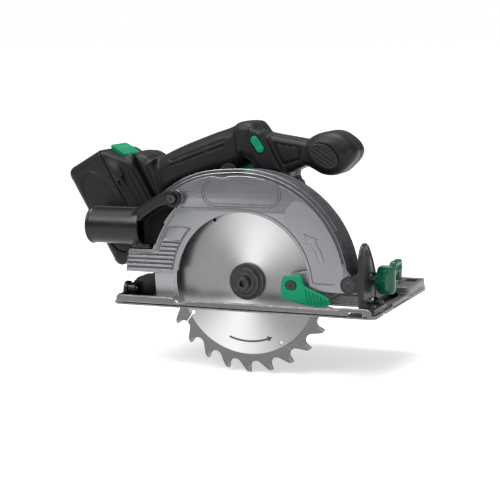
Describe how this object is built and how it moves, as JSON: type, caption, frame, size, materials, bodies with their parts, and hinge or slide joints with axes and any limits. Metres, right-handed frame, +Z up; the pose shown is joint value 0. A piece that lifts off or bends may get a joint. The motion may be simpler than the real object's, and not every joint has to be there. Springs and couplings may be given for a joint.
{
  "type": "circular saw",
  "caption": "Hand-held cordless circular saw with swinging blade guard, tilting shoe, arched rear handle, front knob and tilted slide-on battery.",
  "frame": {"origin": "centre of the shoe's sole, on the work surface", "axes": "+X is the cutting direction, +Z is up away from the sole, the blade is on the -Y side and the motor on the +Y side"},
  "size_m": [0.3202, 0.1665, 0.222],
  "materials": {
    "shoe_metal": "satin die-cast",
    "guard_paint": "satin grey paint on a magnesium casting",
    "lower_guard_metal": "satin",
    "housing_plastic": "fine moulded texture",
    "nozzle_plastic": "satin moulded",
    "grip_rubber": "soft overmould",
    "bracket_black": "black coating",
    "steel": "zinc plated",
    "dark_steel": "black oxide",
    "blade_steel": "radially brushed",
    "carbide": "ground",
    "gear_metal": "die-cast",
    "lever_green": "gloss moulded",
    "knob_green": "gloss moulded",
    "copper": "enamelled wire",
    "insulator": "moulded phenolic",
    "cell_wrap": "shrink wrap",
    "magnet": "sintered ferrite",
    "battery_plastic": "fine moulded texture"
  },
  "bodies": {
    "shoe": {"shoe_plate": "shoe_metal", "bevel_quadrant": "bracket_black", "quadrant_screws": "dark_steel", "rear_pivot_bracket": "bracket_black", "bevel_pins": "steel"},
    "tilt_frame": {"front_tilt_bracket": "bracket_black", "rear_tilt_bracket": "bracket_black", "depth_arm": "steel", "arm_rivets": "steel", "depth_pivot_bolt": "dark_steel"},
    "bevel_clamp": {"bevel_knob": "knob_green", "bevel_bolt": "steel"},
    "fence_clamp": {"fence_knob": "knob_green", "fence_screw": "steel"},
    "saw_body": {"upper_guard": "guard_paint", "dust_nozzle": "nozzle_plastic", "nozzle_screw": "dark_steel", "gear_housing": "gear_metal", "gear_cover": "gear_metal", "gearcase_screws": "dark_steel", "motor_housing": "housing_plastic", "motor_cap": "housing_plastic", "cap_screws": "dark_steel", "handle_shell_right": "housing_plastic", "handle_shell_left": "housing_plastic", "handle_screws": "dark_steel", "grip_inserts": "grip_rubber", "switch_module": "housing_plastic", "terminal_block": "housing_plastic", "motor_can": "steel", "field_magnets": "magnet", "brush_gear": "insulator", "motor_bearings": "steel", "spindle_bearings": "steel", "guard_spring": "steel"},
    "rotor": {"rotor_shaft": "steel", "armature": "copper", "commutator": "copper", "cooling_fan": "housing_plastic", "pinion": "steel"},
    "blade": {"spindle": "steel", "spindle_gear": "steel", "inner_flange": "dark_steel", "saw_blade": "blade_steel", "carbide_tips": "carbide", "outer_flange": "dark_steel", "blade_bolt": "dark_steel"},
    "lower_guard": {"lower_guard": "lower_guard_metal", "guard_lever": "lever_green", "lever_screw": "dark_steel"},
    "depth_lock": {"depth_lock_lever": "housing_plastic", "depth_lock_bolt": "steel"},
    "trigger": {"trigger": "lever_green"},
    "lock_off": {"lock_off_button": "lever_green"},
    "spindle_lock": {"spindle_lock": "housing_plastic"},
    "battery": {"battery_lower_case": "battery_plastic", "battery_upper_case": "battery_plastic", "battery_cells": "cell_wrap", "battery_screws": "dark_steel"},
    "battery_latch": {"battery_latch": "lever_green"}
  },
  "joints": [
    {"name": "bevel_tilt", "type": "hinge", "parent": "shoe", "child": "tilt_frame", "pos_m": [0, -0.0525, 0.01], "axis": [1, 0, 0], "range_deg": [0, 45]},
    {"name": "depth_swing", "type": "hinge", "parent": "tilt_frame", "child": "saw_body", "pos_m": [0.098, -0.05, 0.0269], "axis": [0, 1, 0], "range_deg": [0, 32]},
    {"name": "bevel_knob_turn", "type": "hinge", "parent": "tilt_frame", "child": "bevel_clamp", "pos_m": [0.122, -0.041, 0.0285], "axis": [1, 0, 0], "range_deg": [0, 180]},
    {"name": "fence_knob_turn", "type": "hinge", "parent": "shoe", "child": "fence_clamp", "pos_m": [0.104, 0.048, 0.02], "axis": [0, 0, 1], "range_deg": [0, 180]},
    {"name": "blade_spin", "type": "hinge", "parent": "saw_body", "child": "blade", "pos_m": [-0.0025, -0.0525, 0.0227], "axis": [0, -1, 0], "continuous": true},
    {"name": "rotor_spin", "type": "hinge", "parent": "saw_body", "child": "rotor", "pos_m": [0.00216, 0, 0.04009], "axis": [0, -1, 0], "continuous": true},
    {"name": "lower_guard_swing", "type": "hinge", "parent": "saw_body", "child": "lower_guard", "pos_m": [-0.0025, -0.0525, 0.0227], "axis": [0, -1, 0], "range_deg": [0, 165], "stiffness_Nm_per_rad": 0.08, "springref_deg": 189.08},
    {"name": "depth_lock_turn", "type": "hinge", "parent": "saw_body", "child": "depth_lock", "pos_m": [-0.05885, -0.02, 0.03375], "axis": [0, 1, 0], "range_deg": [0, 45]},
    {"name": "trigger_pull", "type": "hinge", "parent": "saw_body", "child": "trigger", "pos_m": [-0.042, -0.004, 0.13], "axis": [0, -1, 0], "range_deg": [0, 8], "stiffness_Nm_per_rad": 1},
    {"name": "lock_off_push", "type": "slide", "parent": "saw_body", "child": "lock_off", "axis": [0, 1, 0], "range_m": [0, 0.004], "stiffness_N_per_m": 600},
    {"name": "spindle_lock_push", "type": "slide", "parent": "saw_body", "child": "spindle_lock", "axis": [1, 0, 0], "range_m": [0, 0.0016], "stiffness_N_per_m": 800},
    {"name": "battery_slide", "type": "slide", "parent": "saw_body", "child": "battery", "axis": [-0.5, 0, 0.866], "range_m": [0, 0.06]},
    {"name": "battery_latch_press", "type": "slide", "parent": "battery", "child": "battery_latch", "axis": [-0.3928, 0, -0.9196], "range_m": [0, 0.0025], "stiffness_N_per_m": 800}
  ],
  "couplings": [
    {"joint": "rotor_spin", "follows": "blade_spin", "ratio": -4}
  ]
}
